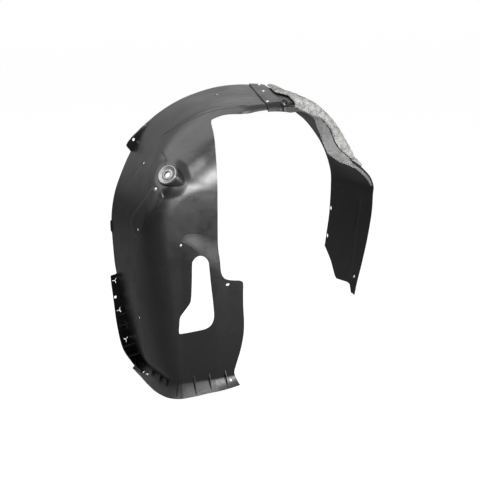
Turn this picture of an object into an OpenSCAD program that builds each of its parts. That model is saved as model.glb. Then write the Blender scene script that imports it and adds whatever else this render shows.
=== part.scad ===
// Wheel arch liner: a thin moulded shell in two overlapping pieces, with a felt pad.
// Frame: the origin is the middle of the tab hole by which the liner hangs on the fender, +Y
// points to the outboard side of the car and +Z up. The tread is an arch about the wheel's axis.
// Lengths along the tread count from the top of the arch, positive towards the large piece, and
// past a quarter turn the legs run straight down.

/* [Arch] */
// Radius of the arch along which lengths are counted
arch_r = 370; // [366:1:374]
// Thickness of the moulded plastic
wall_t = 3; // [2:0.5:3.5]
// Distance from the outboard edge to the side web
web_depth = 245; // [240:1:250]
// How far the lower web stands proud of the upper one
web_step = 17; // [5:1:20]

/* [Wheel opening] */
// Distance from the axis to the upright edge of the web
opening_x = 157; // [150:1:165]
// Radius of the large piece's inboard edge over the top
opening_r = 325; // [320:1:328]
// Height below the axis of the lower tab's upper edge
tab_drop = 138; // [134:1:144]

/* [Suspension cut-out] */
// Distance from the axis to the cut-out's upright side
slot_near_x = 186; // [180:1:192]
// Width of the cut-out's upper part
slot_w = 54; // [50:1:60]
// Height below the axis of the cut-out's rounded top
slot_top = 55; // [50:1:70]
// Height below the axis of the cut-out's lower edge
slot_bottom = 268; // [260:1:275]

/* [Fixings] */
// Diameter of the screw holes
screw_d = 9; // [6:0.5:10]
// Diameter of the support washer
washer_d = 54; // [48:1:58]
// Diameter of the washer's bore
washer_bore = 17; // [12:1:20]
// Thickness of the washer
washer_t = 3; // [2:0.5:4]
// Diameter of a seam rivet's head
rivet_head_d = 9.5; // [8:0.5:12]
// Diameter of a seam rivet's shank
rivet_d = 4.8; // [4:0.2:6]

/* [Felt] */
// Thickness of the felt pad
felt_t = 9; // [6:1:10]
// Gap between the felt and the shell
felt_gap = 0.8; // [0.4:0.1:1.2]

/* [Hidden] */
quarter = arch_r * PI / 2;
seam_gap = 0.5;
seam_lap = 45;
// The seam runs aslant across the tread, from the outboard edge to the inboard one.
seam_outer = -77;
seam_inner = 3;
leg_end = 415;

// Outboard edge by length along the tread: distance across the car, and radius.
edge_y = [[870, 0], [905, -8], [954, -38], [996, -92]];
edge_r = [[-830, 342], [-743, 361], [-700, 367], [-630, 376], [-555, 380], [-500, 385], [-460, 384],
          [-405, 381], [-355, 377], [-305, 373], [-265, 368], [-195, 376], [-136, 383], [-77, 375],
          [0, 368], [90, 365], [155, 367], [255, 371], [300, 370], [370, 362], [420, 361], [500, 365],
          [581, 367], [690, 362], [740, 355], [812, 344], [892, 331], [954, 320], [996, 303]];
// Crest, where the tread starts to turn into the side.
crest_y = [[-446, -234], [0, -236], [45, -234], [90, -222], [140, -170], [207, -135], [291, -108],
           [340, -135], [390, -175], [430, -203], [500, -212], [560, -200], [620, -168], [700, -130],
           [800, -112], [900, -116], [996, -132]];
crest_r = [[-830, 310], [-802, 315], [-735, 334], [-600, 361], [-530, 369], [-504, 375], [-478, 371],
           [-446, 357], [-407, 339], [-387, 331], [-342, 332], [-278, 340], [-207, 352], [-136, 361],
           [-100, 353], [-39, 344], [0, 341], [45, 343], [90, 350], [140, 357], [207, 359], [291, 361],
           [390, 360], [500, 362], [581, 364], [740, 356], [892, 338], [954, 328], [996, 306]];
// Where the rounded corner ends on the side web.
corner_r = [[-830, 298], [-735, 322], [-600, 349], [-530, 357], [-504, 363], [-478, 359], [-446, 345],
            [-387, 318], [-342, 318], [-278, 326], [-207, 338], [-136, 345], [-100, 339], [-39, 330],
            [0, 327], [60, 320], [140, 255], [207, 215], [291, 190], [340, 200], [390, 240],
            [430, 272], [500, 298], [581, 304], [740, 290], [892, 276], [996, 266]];
// Free edge of the small piece's side wall.
wall_free_r = [[-830, 304], [-735, 328], [-600, 355], [-530, 363], [-504, 369], [-478, 365],
               [-446, 346], [-400, 313], [-355, 285], [-297, 273], [-261, 281], [-195, 306],
               [-146, 321], [-79, 321], [0, 321]];
// Free edge of the lower web and its tab, by depth below the axis.
tab_x = [[20, opening_x], [45, 155], [70, 150], [110, 149], [123, 146], [130, 139],
         [tab_drop - 0.7, 129], [tab_drop + 0.7, 93], [148, 83], [170, 81], [250, 80], [293, 83],
         [316, 86], [362, 98], [leg_end, 111]];
// Width of the fin that stands out from the large piece's outboard edge.
fin_w = [[205, 3], [300, 8], [330, 16], [352, 21], [356, 21], [366, 3], [570, 3], [574, 6], [600, 6],
         [614, 3], [730, 3], [736, 20], [800, 24], [900, 30], [960, 33], [996, 33]];

// Slope of a table between two neighbouring entries.
function step_slope(t, k) = (t[k + 1][1] - t[k][1]) / (t[k + 1][0] - t[k][0]);
// Slope at an entry, chosen so that the curve never overshoots its neighbours.
function knot_slope(t, k) =
    k == 0 ? step_slope(t, 0)
    : k == len(t) - 1 ? step_slope(t, k - 1)
    : let (a = step_slope(t, k - 1), b = step_slope(t, k)) a * b <= 0 ? 0 : 2 * a * b / (a + b);
// Smooth curve through a table's entries.
function smooth(x, t) =
    x <= t[0][0] ? t[0][1]
    : x >= t[len(t) - 1][0] ? t[len(t) - 1][1]
    : let (k = max([for (i = [0 : len(t) - 2]) if (t[i][0] <= x) i]),
           h = t[k + 1][0] - t[k][0],
           f = (x - t[k][0]) / h,
           g = 1 - f)
      t[k][1] * g * g * (1 + 2 * f) + t[k + 1][1] * f * f * (3 - 2 * f)
      + h * f * g * (knot_slope(t, k) * g - knot_slope(t, k + 1) * f);
function clamp(x) = min(1, max(0, x));
function ease(x) = let (c = clamp(x)) c * c * (3 - 2 * c);
function mix(a, b, f) = a + (b - a) * f;
function unit(v) = v / norm(v);
// The lower of two values, rounded off where they cross.
function soft_min(a, b, r) =
    let (h = clamp(0.5 + (b - a) / (2 * r))) mix(b, a, h) - r * h * (1 - h);

// Point at length s along the tread, y across the car and r out from the axis.
function place(s, y, r) =
    s > quarter ? [-r, y, quarter - s]
    : s < -quarter ? [r, y, s + quarter]
    : let (a = 90 + s / arch_r * 180 / PI) [r * cos(a), y, r * sin(a)];

// Free edge of the large piece: over the arch, down the opening, then round the lower tab.
function rear_free_r(s) =
    let (turn = s / arch_r * 180 / PI, upright = opening_x - 6 * (1 - ease((s - 150) / 90)))
    s > quarter ? smooth(s - quarter, tab_x)
    : soft_min(opening_r + 12 * ease((s - 60) / 80), upright / max(0.05, sin(turn)), 12);

// The lower web steps towards the middle of the car below a ledge, which starts at a point by the
// corner and widens towards the opening.
function web_y(s, r) =
    let (reach = clamp((275 - r) / 100), drop = max(0, s - quarter), top = 6 + 10 * reach)
    -web_depth - web_step * reach * clamp((drop - top) / (4 + 34 * reach));

// Corner and web of one section, counted by q: 0 at the crest, 1 at the corner's end, and one
// more for each 120 mm of web. The corner is a parabola between its two tangents.
// Over the top the parabola starts with a slight bend, which shows as a crease.
web_unit = 120;
function corner_b(s, a, c) = a - mix(0.18, 0.05, ease((s - 230) / 90)) * (a - c);
function corner_q(s, free_r) =
    let (a = smooth(s, crest_r), c = smooth(s, corner_r), b = corner_b(s, a, c))
    free_r < c ? 1 + (c - free_r) / web_unit
    : let (qa = a - 2 * b + c, qb = 2 * (b - a), qc = a - free_r)
      abs(qa) < 0.01 ? -qc / qb : (-qb - sqrt(qb * qb - 4 * qa * qc)) / (2 * qa);
function side_point(s, q) =
    let (a = smooth(s, crest_r), c = smooth(s, corner_r), b = corner_b(s, a, c),
         ya = smooth(s, crest_y), g = 1 - q)
    q > 1 ? let (r = c - (q - 1) * web_unit) place(s, web_y(s, r), r)
    : let (r = a * g * g + 2 * b * q * g + c * q * q)
      place(s, ya * g * g + web_y(s, r) * (1 - g * g), r);
function tread_point(s, f) =
    place(s, mix(smooth(s, edge_y), smooth(s, crest_y), f),
          mix(smooth(s, edge_r), smooth(s, crest_r), f));
// Point of the liner's outer face: u from 0 to 1 crosses the tread, and from 1 on goes down
// the side by q.
function skin(s, u) = u <= 1 ? tread_point(s, u) : side_point(s, u - 1);

// Outward unit normals of a grid of points.
function grid_normals(g) =
    let (m = len(g) - 1, n = len(g[0]) - 1)
    [for (i = [0 : m]) [for (j = [0 : n])
        unit(cross(g[min(i + 1, m)][j] - g[max(i - 1, 0)][j],
                   g[i][min(j + 1, n)] - g[i][max(j - 1, 0)]))]];
function grid_offset(g, nrm, d) =
    [for (i = [0 : len(g) - 1]) [for (j = [0 : len(g[0]) - 1]) g[i][j] + d * nrm[i][j]]];

// Solid between two grids of the same size, the first one outside.
module slab(top, under) {
    m = len(top);
    n = len(top[0]);
    all = concat([for (row = top) for (p = row) p], [for (row = under) for (p = row) p]);
    base = m * n;
    function at(i, j) = i * n + j;
    tops = [for (i = [0 : m - 2]) for (j = [0 : n - 2]) each
            [[at(i, j), at(i, j + 1), at(i + 1, j + 1)], [at(i, j), at(i + 1, j + 1), at(i + 1, j)]]];
    unders = [for (f = tops) [base + f[0], base + f[2], base + f[1]]];
    rim = concat([for (j = [0 : n - 2]) [at(0, j), at(0, j + 1)]],
                 [for (i = [0 : m - 2]) [at(i, n - 1), at(i + 1, n - 1)]],
                 [for (j = [n - 1 : -1 : 1]) [at(m - 1, j), at(m - 1, j - 1)]],
                 [for (i = [m - 1 : -1 : 1]) [at(i, 0), at(i - 1, 0)]]);
    sides = [for (e = rim) each [[e[1], e[0], base + e[0]], [e[1], base + e[0], base + e[1]]]];
    polyhedron(points = all, faces = concat(tops, unders, sides), convexity = 10);
}

// Middle of the tab hole, which every part is moved to, from the wheel's axis.
tab_hole = [-293, wall_t / 2, 233];
module to_frame() {
    translate(-tab_hole) children();
}
// Flat seat of the tab hole.
module tab_plate() {
    translate([tab_hole[0], wall_t, tab_hole[2]])
        rotate([90, 0, 0]) cylinder(h = wall_t, d = screw_d + 9, $fn = 32);
}

// Length along the tread of the seam at a fraction u of the tread's width.
function seam_at(u) = mix(seam_outer, seam_inner, min(1, u));

// Rows and columns of the large piece, whose end passes under the small one at the seam.
rear_start = 60;
rear_rows = concat([for (s = [80 : 20 : 120]) s], [for (s = [128 : 8 : 216]) s],
                   [for (s = [236 : 20 : 336]) s], [352, 357, 366, 383, 400],
                   [for (s = [425 : 25 : 550]) s], [570, 574, 587, 597, 600, 614, 624, 635, 645],
                   [660, 675, 690], [for (d = [122, 130, tab_drop - 0.7, tab_drop + 0.7]) quarter + d],
                   [730, 737, 760],
                   [for (s = [785 : 25 : 935]) s], [950, 965, 978, 988, quarter + leg_end]);
tread_cols = 4;
turn_cols = 8;
web_cols = 5;
function rear_row(s, lead) =
    let (at = function (u) lead < 1 ? mix(seam_at(u) - seam_lap, rear_start, lead) : s,
         s_in = at(1), q_end = corner_q(s_in, rear_free_r(s_in)), q_turn = min(1, 0.85 * q_end))
    concat([place(at(0), 0.5 * smooth(at(0), edge_y), smooth(at(0), edge_r) + smooth(at(0), fin_w))],
           [for (j = [0 : tread_cols]) skin(at(j / tread_cols), j / tread_cols)],
           [for (j = [1 : turn_cols]) skin(s_in, 1 + q_turn * j / turn_cols)],
           [for (j = [1 : web_cols]) skin(s_in, 1 + mix(q_turn, q_end, j / web_cols))]);
// Lip round the bottom: each end point moves out and down from the last row. The tables give
// both distances by fraction of the row.
lip_out = [[0, 26], [0.5, 19], [1, 19]];
lip_down = [[0, 26], [0.24, 31], [0.36, 40], [0.5, 41], [0.7, 36], [0.76, 32], [0.88, 28], [1, 20]];
// The fin's tip ends in the lip's corner.
lip_corner = [5, -26, -19];
function lip_row(row) =
    let (n = len(row) - 1)
    [for (j = [0 : n])
        let (along = row[min(j + 1, n)] - row[max(j - 1, 1)], f = clamp((j - 1) / (n - 1)))
        row[j] + (j == 0 ? lip_corner : lookup(f, lip_out) * unit([along[1], -along[0], 0])
                                        - [0, 0, lookup(f, lip_down)])];
function rear_grid() =
    let (rows = concat([for (f = [0 : 0.125 : 1]) rear_row(rear_start, f)],
                       [for (s = rear_rows) rear_row(s, 1)]))
    concat(rows, [lip_row(rows[len(rows) - 1])]);

// Thin triangular rib with corners a, b and c, and v as half its thickness.
module gusset(a, b, c, v) {
    w = cross(b - a, c - a) * v < 0 ? -v : v;
    polyhedron(points = [a - w, b - w, c - w, a + w, b + w, c + w],
               faces = [[0, 1, 2], [5, 4, 3], [0, 3, 4], [0, 4, 1], [1, 4, 5], [1, 5, 2], [2, 5, 3],
                        [2, 3, 0]]);
}
rib_t = 2.4;
// Ribs across the lip, by place along its row of points.
lip_ribs = [5, 7, 8.2, 11.3, 14, 15.4, 17];
module lip_gussets(g, nrm) {
    m = len(g) - 1;
    at = function (row, j) mix(row[floor(j)], row[floor(j) + 1], j - floor(j));
    for (j = lip_ribs) {
        root = at(g[m - 1], j);
        along = unit(at(g[m - 1], j + 0.5) - at(g[m - 1], j - 0.5));
        gusset(at(g[m - 3], j), mix(root, at(g[m], j), 0.85), root - wall_t / 2 * at(nrm[m - 1], j),
               rib_t / 2 * along);
    }
}
// Ribs between the fin and the tread, by length along the tread at the fin's tip; they slope
// up towards the tread.
fin_ribs = [861, 892, 951, 977];
fin_rib_rise = 16;
module fin_gussets() {
    for (s = fin_ribs) {
        root = s - fin_rib_rise / 2;
        y = smooth(root, edge_y);
        r = smooth(root, edge_r);
        gusset(skin(s - fin_rib_rise, 0.2), place(s, 0.6 * y, r + 0.8 * smooth(s, fin_w)),
               place(root, y + wall_t / 2, r - wall_t / 2), [0, 0, rib_t / 2]);
    }
}

// Point and outward normal of the liner's outer face, to place fixings.
function skin_normal(s, u) =
    unit(cross(skin(s + 1, u) - skin(s - 1, u), skin(s, u + 0.01) - skin(s, u - 0.01)));
module on_skin(s, u) {
    n = skin_normal(s, u);
    translate(skin(s, u)) rotate([0, acos(n[2]), atan2(n[1], n[0])]) children();
}
module drill(d, depth = 16) {
    cylinder(h = depth, d = d, center = true, $fn = 32);
}
// Drilled along the axle, at a place seen from the side.
module side_drill(x, z, d) {
    translate([x, 0, z]) rotate([90, 0, 0]) cylinder(h = 700, d = d, center = true, $fn = 32);
}
// Clip slot: a short bar with a round middle.
module side_slot(x, z, tilt) {
    translate([x, 0, z]) rotate([0, tilt, 0]) {
        cube([14, 60, 3], center = true);
        rotate([90, 0, 0]) cylinder(h = 60, d = 6, center = true, $fn = 24);
    }
}

// Outline of the suspension cut-out, seen along the axle: a round-topped slot with a foot.
module slot_outline() {
    far_x = slot_near_x + slot_w;
    hull() {
        translate([-far_x + 20, -slot_top - 20]) circle(20, $fn = 32);
        translate([-slot_near_x - 20, -slot_top - 20]) circle(20, $fn = 32);
        translate([-far_x - 3, -176]) square(1);
        translate([-slot_near_x + 6, -230]) square(1);
        translate([-far_x - 2, -200]) square(1);
    }
    hull() {
        translate([-far_x - 34, -slot_bottom + 4]) circle(4, $fn = 16);
        translate([-far_x - 30, -220]) circle(6, $fn = 16);
        translate([-far_x - 1, -184]) circle(6, $fn = 16);
        translate([-slot_near_x - 18, -slot_bottom + 26]) circle(24, $fn = 32);
    }
}
module suspension_slot() {
    translate([0, -180, 0]) rotate([90, 0, 0]) linear_extrude(120) slot_outline();
}

// Solid that stands a little proud of the shell, on a grid of places of its outer face.
module raised(g, rise) {
    nrm = grid_normals(g);
    slab(grid_offset(g, nrm, rise), grid_offset(g, nrm, -wall_t / 2));
}
// Raised strap below the boss, from its top down: outboard and inboard edge of each section, as
// length along the tread and place across it.
strap = [[[419, 1.17], [416, 1.44]], [[450, 0.98], [454, 1.58]], [[479, 0.81], [499, 1.44]],
         [[536, 0.63], [546, 1.1]], [[562, 0.7], [585, 0.94]], [[586, 0.84], [592, 0.92]]];
strap_rise = 2;
module strap_pad() {
    section = function (k) let (i = min(floor(k), len(strap) - 2)) mix(strap[i], strap[i + 1], k - i);
    place_at = function (k, f) let (p = mix(section(k)[0], section(k)[1], f)) skin(p[0], p[1]);
    raised([for (k = [0 : 0.5 : len(strap) - 1]) [for (f = [0 : 0.25 : 1]) place_at(k, f)]], strap_rise);
}
// Short rib that runs up from the boss.
boss_rib = [[333, 1.14], [341, 1.2], [350, 1.26], [362, 1.29]];
module rib_pad() {
    raised([for (p = boss_rib) [for (d = [-0.02, 0.02]) skin(p[0], p[1] + d)]], 2.5);
}

// Boss for the support washer: a hollow pad with a drafted wall that stands out of the corner.
boss_at = [-296.5, -229, 172.5];
boss_n = unit([-0.7, -0.43, 0.57]);
boss_d = washer_d + 5;
boss_depth = 50;
// How much wider the wall is at that depth, all round
boss_draft = 6;
module on_boss(lift = 0) {
    translate(boss_at + lift * boss_n)
        rotate([0, acos(boss_n[2]), atan2(boss_n[1], boss_n[0])]) children();
}
// The layer of space that the boss's wall fills, from within the shell to above the pad.
module boss_wall() {
    g = [for (s = [310 : 15 : 460]) [for (u = [0.5 : 0.125 : 2]) skin(s, u)]];
    nrm = grid_normals(g);
    intersection() {
        on_boss(-boss_depth)
            cylinder(h = boss_depth, d1 = boss_d + 2 * boss_draft, d2 = boss_d, $fn = 48);
        slab(grid_offset(g, nrm, 60), grid_offset(g, nrm, -wall_t / 2));
    }
}
module boss_hollow() {
    inner_d = boss_d - 2 * wall_t;
    on_boss(-wall_t - boss_depth)
        cylinder(h = boss_depth, d1 = inner_d + 2 * boss_draft, d2 = inner_d, $fn = 48);
    on_boss() cylinder(h = 4 * wall_t, d = washer_bore, center = true, $fn = 48);
}

module rear_shell() {
    g = rear_grid();
    nrm = grid_normals(g);
    to_frame() color([0.12, 0.12, 0.125]) difference() {
        union() {
            slab(g, grid_offset(g, nrm, -wall_t));
            tab_plate();
            boss_wall();
            strap_pad();
            rib_pad();
            lip_gussets(g, nrm);
            fin_gussets();
        }
        boss_hollow();
        suspension_slot();
        side_drill(tab_hole[0], tab_hole[2], screw_d);
        side_drill(-363, -220, screw_d);
        side_drill(-268, -19, 7);
        side_drill(-132, -149, screw_d);
        // Hole in the lip under the web
        translate([-129, -268, -425]) rotate([60, 0, 0]) drill(screw_d);
        for (p = [[66, 0.3], [382, 0.62], [434, 1.23], [559, 0.9], [826, 1.08]])
            on_skin(p[0], p[1]) drill(7);
        for (p = [[-363, -170, 60], [-352, -261, 70], [-338, -352, 60]])
            side_slot(p[0], p[1], p[2]);
        for (p = rivet_at) on_skin(p[0], p[1]) drill(rivet_d + 0.2, 30);
    }
}

// Rows and columns of the small piece.
front_rows = [-560, -545, -530, -517, -504, -491, -478, -462, -446, -430, -415, -400, -385, -370,
              -350, -330, -310, -290, -270, -250, -230, -210, -190, -175, -160];
front_end = -160;
front_cols = [0, 0.12, 0.25, 0.38, 0.5, 0.65, 0.8, 0.87, 0.94, 1];
wall_cols = 6;
// Depth of the leg's lower end by fraction of the tread's width, with the tab at its corner.
leg_cut = [[0, 162], [0.25, 196], [0.45, 232], [0.5, 236], [0.8, 227], [0.87, 229], [0.94, 250], [1, 250]];
function leg_at(u, f) = -quarter - f * lookup(min(1, u), leg_cut);
function front_row(at) =
    let (s_in = at(1), q_end = corner_q(s_in, smooth(s_in, wall_free_r)))
    concat([for (u = front_cols) skin(at(u), u)],
           [for (j = [1 : wall_cols]) skin(s_in, 1 + q_end * j / wall_cols)]);
function front_grid() =
    concat([for (f = [1, 0.92, 0.83, 0.7, 0.55, 0.4, 0.25, 0.12, 0])
                front_row(function (u) leg_at(u, f))],
           [for (s = front_rows) front_row(function (u) s)],
           [front_row(function (u) mix(front_end, seam_at(u) - seam_lap - 18, 0.5))],
           [for (d = lap_rows) front_row(function (u) seam_at(u) - d)]);
// The small piece rises by the plastic's thickness where it laps over the large one.
lap_rise = wall_t + seam_gap;
lap_rows = [seam_lap + 18, seam_lap + 10, seam_lap + 2, 30, 15, 0];
function front_top() =
    let (g = front_grid(), nrm = grid_normals(g), m = len(g))
    [for (i = [0 : m - 1]) [for (j = [0 : len(g[0]) - 1])
        g[i][j] + nrm[i][j] * lap_rise * clamp((i - m + 6) / 2)]];

// Moulded ring round the hole at the crest.
ring_at = [-56, 1.4];
module ring_boss() {
    translate([0, 0, lap_rise]) rotate_extrude($fn = 32)
        polygon([[6, -2], [11, -2], [10, 2], [8.5, 2.6], [7, 2]]);
}
module front_shell() {
    top = front_top();
    nrm = grid_normals(top);
    to_frame() color([0.14, 0.14, 0.145]) difference() {
        union() {
            slab(top, grid_offset(top, nrm, -wall_t));
            on_skin(ring_at[0], ring_at[1]) ring_boss();
        }
        for (p = rivet_at) on_skin(p[0], p[1]) drill(rivet_d + 0.2, 30);
        on_skin(-62, 0.95) drill(8, 30);
        on_skin(ring_at[0], ring_at[1]) drill(10, 30);
        on_skin(-782, 0.93) drill(10);
        for (z = [-38, -127])
            translate([380, -7, z]) rotate([0, 90, 0]) cylinder(h = 40, d = 8, center = true, $fn = 24);
    }
}

// Blind rivets along the seam, by length along the tread and fraction of its width.
rivet_at = [[-104, 0.06], [-66, 0.46], [-10, 0.95]];
module seam_rivets() {
    to_frame() color([0.75, 0.76, 0.78]) for (p = rivet_at) on_skin(p[0], p[1]) {
        translate([0, 0, lap_rise + 0.2]) rotate_extrude($fn = 18)
            polygon([[0, 0], [rivet_head_d / 2, 0], [rivet_head_d / 2 - 0.4, 0.9],
                     [rivet_head_d / 4, 1.9], [0, 2.1]]);
        translate([0, 0, -wall_t - 3.6]) cylinder(h = lap_rise + wall_t + 4, d = rivet_d - 0.4, $fn = 18);
        translate([0, 0, -wall_t - 3.6]) cylinder(h = 2.6, d = rivet_d + 2.6, $fn = 18);
    }
}

// Support washer on the boss: a dished steel ring.
module support_washer() {
    rim = washer_t / 3;
    to_frame() color([0.5, 0.5, 0.5]) on_boss(0.1) rotate_extrude($fn = 40)
        polygon([[washer_bore / 2, 0], [washer_d / 2, 0], [washer_d / 2, washer_t + rim],
                 [washer_d / 2 - 3, washer_t + rim], [washer_d / 2 - 6, washer_t],
                 [washer_bore / 2, washer_t]]);
}

// Felt pad: it lies on the small piece's tread and turns down its side wall.
felt_rows = 22;
felt_from = -428;
felt_edge = [[0.03, -132], [0.53, -93], [0.62, -106], [0.72, -112], [1, -89]];
felt_cols = [0.03, 0.08, 0.3, 0.53, 0.62, 0.72, 0.9, 1];
// How far the felt reaches down the side wall, by length along the tread.
felt_reach = [[-428, 2], [-400, 4], [-341, 20], [-295, 27], [-245, 18], [-205, 16],
              [-149, 27], [-114, 22], [-95, 14]];
felt_wall_cols = 4;
function felt_row(f) =
    let (at = function (u) mix(felt_from, lookup(min(1, u), felt_edge), f), s_in = at(1),
         q_end = corner_q(s_in, smooth(s_in, crest_r) - smooth(s_in, felt_reach)))
    concat([for (u = felt_cols) skin(at(u), u)],
           [for (j = [1 : felt_wall_cols]) skin(s_in, 1 + q_end * j / felt_wall_cols)]);
module felt_pad() {
    g = [for (i = [0 : felt_rows]) felt_row(i / felt_rows)];
    nrm = grid_normals(g);
    n = len(g[0]) - 1;
    // The small piece has begun to rise under the felt's end.
    lift = function (i) felt_gap + lap_rise * ease((i - felt_rows + 4) / 4);
    thick = function (i, j) felt_t * (i == 0 || j == 0 || i == felt_rows || j == n ? 0.4 : 1);
    under = [for (i = [0 : felt_rows]) [for (j = [0 : n]) g[i][j] + nrm[i][j] * lift(i)]];
    top = [for (i = [0 : felt_rows]) [for (j = [0 : n]) under[i][j] + nrm[i][j] * thick(i, j)]];
    to_frame() color([0.8, 0.8, 0.8]) slab(top, under);
}

rear_shell();
front_shell();
felt_pad();
support_washer();
seam_rivets();
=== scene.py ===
import math

import bmesh
import bpy
import numpy as np
from mathutils import Matrix, Vector


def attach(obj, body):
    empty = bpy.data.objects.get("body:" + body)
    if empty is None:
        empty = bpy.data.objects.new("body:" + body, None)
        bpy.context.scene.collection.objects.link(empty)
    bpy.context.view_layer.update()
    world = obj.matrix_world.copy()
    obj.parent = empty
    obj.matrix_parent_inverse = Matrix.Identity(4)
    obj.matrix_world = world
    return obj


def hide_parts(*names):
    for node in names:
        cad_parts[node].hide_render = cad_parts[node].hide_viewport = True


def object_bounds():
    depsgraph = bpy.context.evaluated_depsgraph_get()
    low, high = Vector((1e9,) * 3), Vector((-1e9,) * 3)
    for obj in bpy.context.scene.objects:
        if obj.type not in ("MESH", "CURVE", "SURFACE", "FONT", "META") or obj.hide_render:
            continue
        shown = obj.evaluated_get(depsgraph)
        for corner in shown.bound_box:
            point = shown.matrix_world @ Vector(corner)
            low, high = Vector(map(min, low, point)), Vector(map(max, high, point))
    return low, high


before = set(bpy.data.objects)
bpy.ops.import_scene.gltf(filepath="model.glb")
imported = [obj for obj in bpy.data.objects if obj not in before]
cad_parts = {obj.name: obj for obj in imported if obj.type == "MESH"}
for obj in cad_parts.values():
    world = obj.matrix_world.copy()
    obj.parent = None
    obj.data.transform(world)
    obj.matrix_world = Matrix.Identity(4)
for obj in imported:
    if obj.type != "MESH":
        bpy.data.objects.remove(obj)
CAD_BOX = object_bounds()

# Lengths below are in millimetres from the wheel's axis, as in the part's source: x to the
# small shell, y to the outboard side, z up. to_frame() turns them into metres in the frame.
MM = 0.001
TAB_HOLE = np.array([-293.0, 1.5, 233.0])
ARCH_R = 370.0
QUARTER = ARCH_R * math.pi / 2
WALL = 3.0
WEB_DEPTH = 245.0
WEB_STEP = 17.0
WEB_UNIT = 120.0
OPENING_X = 157.0
OPENING_R = 325.0
SEAM_GAP = 0.5
SEAM_LAP = 45.0
SEAM_OUTER = -77.0
SEAM_INNER = 3.0
LAP_RISE = WALL + SEAM_GAP

# Section values by length along the tread: outboard edge, crest, end of the rounded corner, free
# edge of the small shell's side wall, and width of the fin.
EDGE_Y = [(870, 0), (905, -8), (954, -38), (996, -92)]
EDGE_R = [(-830, 342), (-743, 361), (-700, 367), (-630, 376), (-555, 380), (-500, 385), (-460, 384),
          (-405, 381), (-355, 377), (-305, 373), (-265, 368), (-195, 376), (-136, 383), (-77, 375),
          (0, 368), (90, 365), (155, 367), (255, 371), (300, 370), (370, 362), (420, 361), (500, 365),
          (581, 367), (690, 362), (740, 355), (812, 344), (892, 331), (954, 320), (996, 303)]
CREST_Y = [(-446, -234), (0, -236), (45, -234), (90, -222), (140, -170), (207, -135), (291, -108),
           (340, -135), (390, -175), (430, -203), (500, -212), (560, -200), (620, -168), (700, -130),
           (800, -112), (900, -116), (996, -132)]
CREST_R = [(-830, 310), (-802, 315), (-735, 334), (-600, 361), (-530, 369), (-504, 375), (-478, 371),
           (-446, 357), (-407, 339), (-387, 331), (-342, 332), (-278, 340), (-207, 352), (-136, 361),
           (-100, 353), (-39, 344), (0, 341), (45, 343), (90, 350), (140, 357), (207, 359), (291, 361),
           (390, 360), (500, 362), (581, 364), (740, 356), (892, 338), (954, 328), (996, 306)]
CORNER_R = [(-830, 298), (-735, 322), (-600, 349), (-530, 357), (-504, 363), (-478, 359), (-446, 345),
            (-387, 318), (-342, 318), (-278, 326), (-207, 338), (-136, 345), (-100, 339), (-39, 330),
            (0, 327), (60, 320), (140, 255), (207, 215), (291, 190), (340, 200), (390, 240),
            (430, 272), (500, 298), (581, 304), (740, 290), (892, 276), (996, 266)]
WALL_FREE_R = [(-830, 304), (-735, 328), (-600, 355), (-530, 363), (-506, 371), (-498, 359), (-478, 353),
               (-446, 337), (-426, 327), (-400, 310), (-355, 285), (-297, 273), (-261, 281), (-220, 298),
               (-195, 311), (-166, 328), (-130, 331), (-110, 329), (-79, 321), (0, 321)]
FIN_W = [(205, 3), (300, 8), (330, 16), (352, 21), (356, 21), (366, 3), (570, 3), (574, 6), (600, 6),
         (614, 3), (730, 3), (736, 20), (800, 24), (900, 30), (960, 32), (996, 29)]
# Free edge of the lower web with its tab, and the cut-out, as (x, z) seen along the axle.
TAB = [(-157, -26), (-156, -52), (-153, -75), (-153, -104), (-149, -119), (-141, -129), (-128, -135),
       (-110, -139), (-95, -141), (-87, -144), (-83, -150), (-85, -182), (-85, -227), (-83, -264),
       (-86, -304), (-95, -344), (-109, -383), (-116, -404), (-115, -414), (-100, -470)]
CUT_OUT = [(-238, -73), (-236, -67), (-228, -58), (-219, -54), (-208, -55), (-197, -62), (-188, -74),
           (-187, -88), (-183, -142), (-178, -196), (-176, -230), (-180, -247), (-189, -259),
           (-202, -265), (-218, -267), (-254, -270), (-274, -271), (-279, -266), (-277, -243),
           (-275, -222), (-267, -212), (-253, -195), (-246, -186), (-242, -174), (-239, -118)]


def curve(knots):
    """Smooth curve through (place, value) knots that never overshoots its neighbours."""
    xs, ys = np.array(knots, float).T
    step = np.diff(ys) / np.diff(xs)
    slope = np.zeros(len(xs))
    slope[0], slope[-1] = step[0], step[-1]
    a, b = step[:-1], step[1:]
    same = a * b > 0
    slope[1:-1][same] = 2 * a[same] * b[same] / (a[same] + b[same])

    def at(x):
        x = np.clip(np.asarray(x, float), xs[0], xs[-1])
        k = np.clip(np.searchsorted(xs, x, side="right") - 1, 0, len(xs) - 2)
        h = xs[k + 1] - xs[k]
        f = (x - xs[k]) / h
        g = 1 - f
        return (ys[k] * g * g * (1 + 2 * f) + ys[k + 1] * f * f * (3 - 2 * f)
                + h * f * g * (slope[k] * g - slope[k + 1] * f))

    return at


def straight(knots):
    """Straight lines through (place, value) knots."""
    xs, ys = np.array(knots, float).T
    return lambda x: np.interp(x, xs, ys)


edge_y, edge_r = curve(EDGE_Y), curve(EDGE_R)
crest_y, crest_r, corner_r = curve(CREST_Y), curve(CREST_R), curve(CORNER_R)
wall_free_r, fin_w = curve(WALL_FREE_R), curve(FIN_W)


def ease(x):
    c = np.clip(x, 0, 1)
    return c * c * (3 - 2 * c)


def mix(a, b, f):
    return a + (b - a) * f


def unit(v):
    v = np.asarray(v, float)
    return v / np.linalg.norm(v, axis=-1, keepdims=True)


def to_frame(p):
    return (np.asarray(p, float) - TAB_HOLE) * MM


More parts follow.
